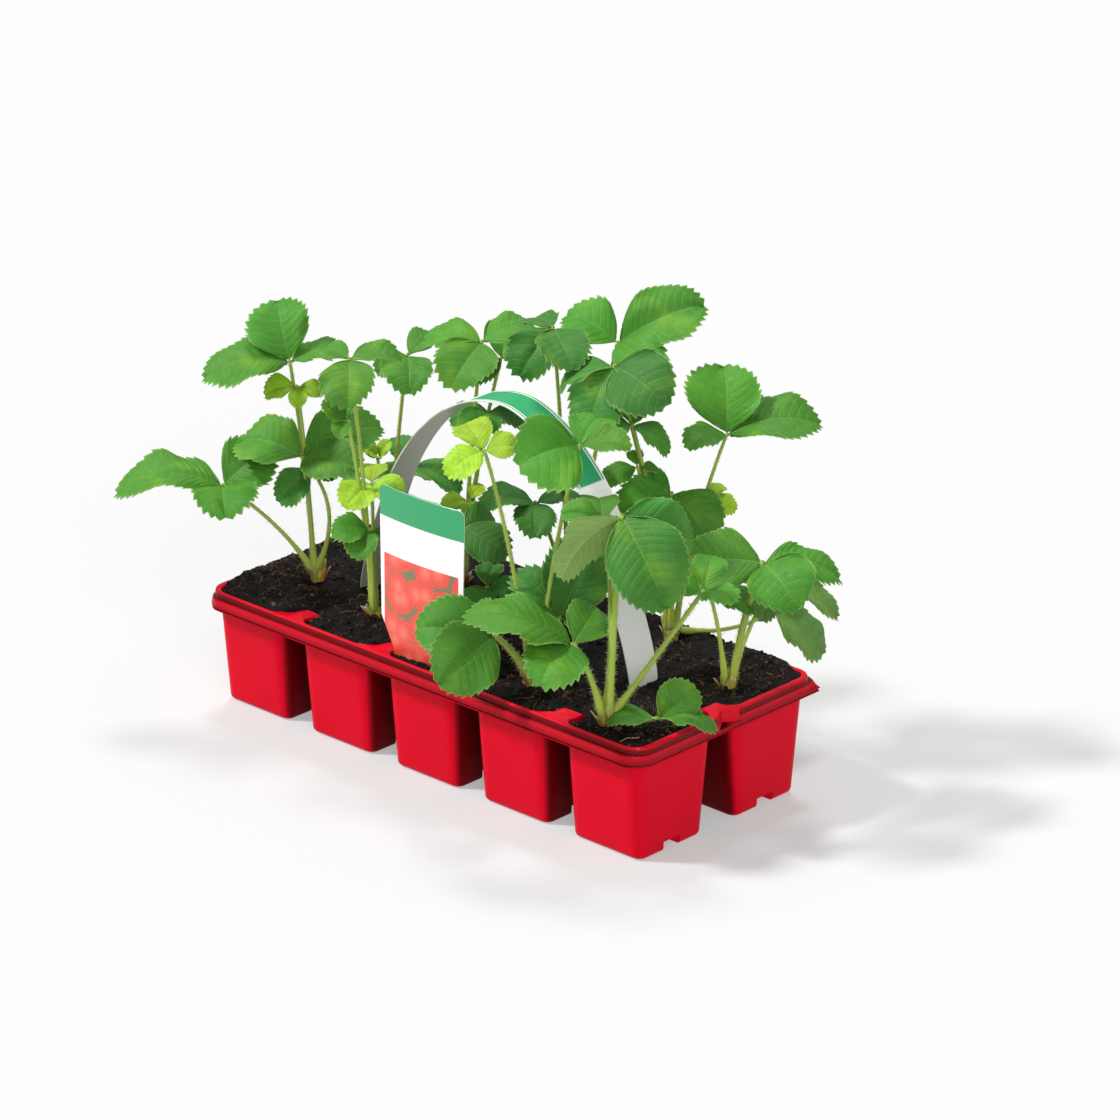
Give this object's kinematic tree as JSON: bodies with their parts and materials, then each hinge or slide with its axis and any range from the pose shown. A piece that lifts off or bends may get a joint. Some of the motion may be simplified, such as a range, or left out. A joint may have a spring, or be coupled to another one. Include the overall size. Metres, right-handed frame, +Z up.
{
  "type": "tray of potted strawberry plants",
  "caption": "Moulded cell tray of young strawberry plants rooted in soil, with an arching carry band over the tray and a card label.",
  "frame": {"origin": "middle of the whole part's outer box, at the height of the floor under the cells' feet", "axes": "+Z up, +X along the tray's long side towards the right end as seen from the labelled side, +Y from the labelled front row to the back row"},
  "size_m": [0.3578, 0.2214, 0.2324],
  "materials": {
    "tray": "glossy moulded plastic, bright red",
    "soil": "crumbly dark peat soil with brown fibres",
    "plant": "living leaf, satin above and paler below, on hairy pale green stalks",
    "band": "coated card, green print on part of the outside",
    "label": "coated card with a green head and a red picture field"
  },
  "bodies": {
    "root": {"tray": "tray", "soil_front_1": "soil", "soil_front_2": "soil", "soil_front_3": "soil", "soil_front_4": "soil", "soil_front_5": "soil", "soil_back_1": "soil", "soil_back_2": "soil", "soil_back_3": "soil", "soil_back_4": "soil", "soil_back_5": "soil", "plant_front_1": "plant", "plant_front_2": "plant", "plant_front_3": "plant", "plant_front_4": "plant", "plant_front_5": "plant", "plant_back_1": "plant", "plant_back_2": "plant", "plant_back_3": "plant", "plant_back_4": "plant", "plant_back_5": "plant", "carry_band": "band", "label_card": "label"}
  },
  "joints": []
}
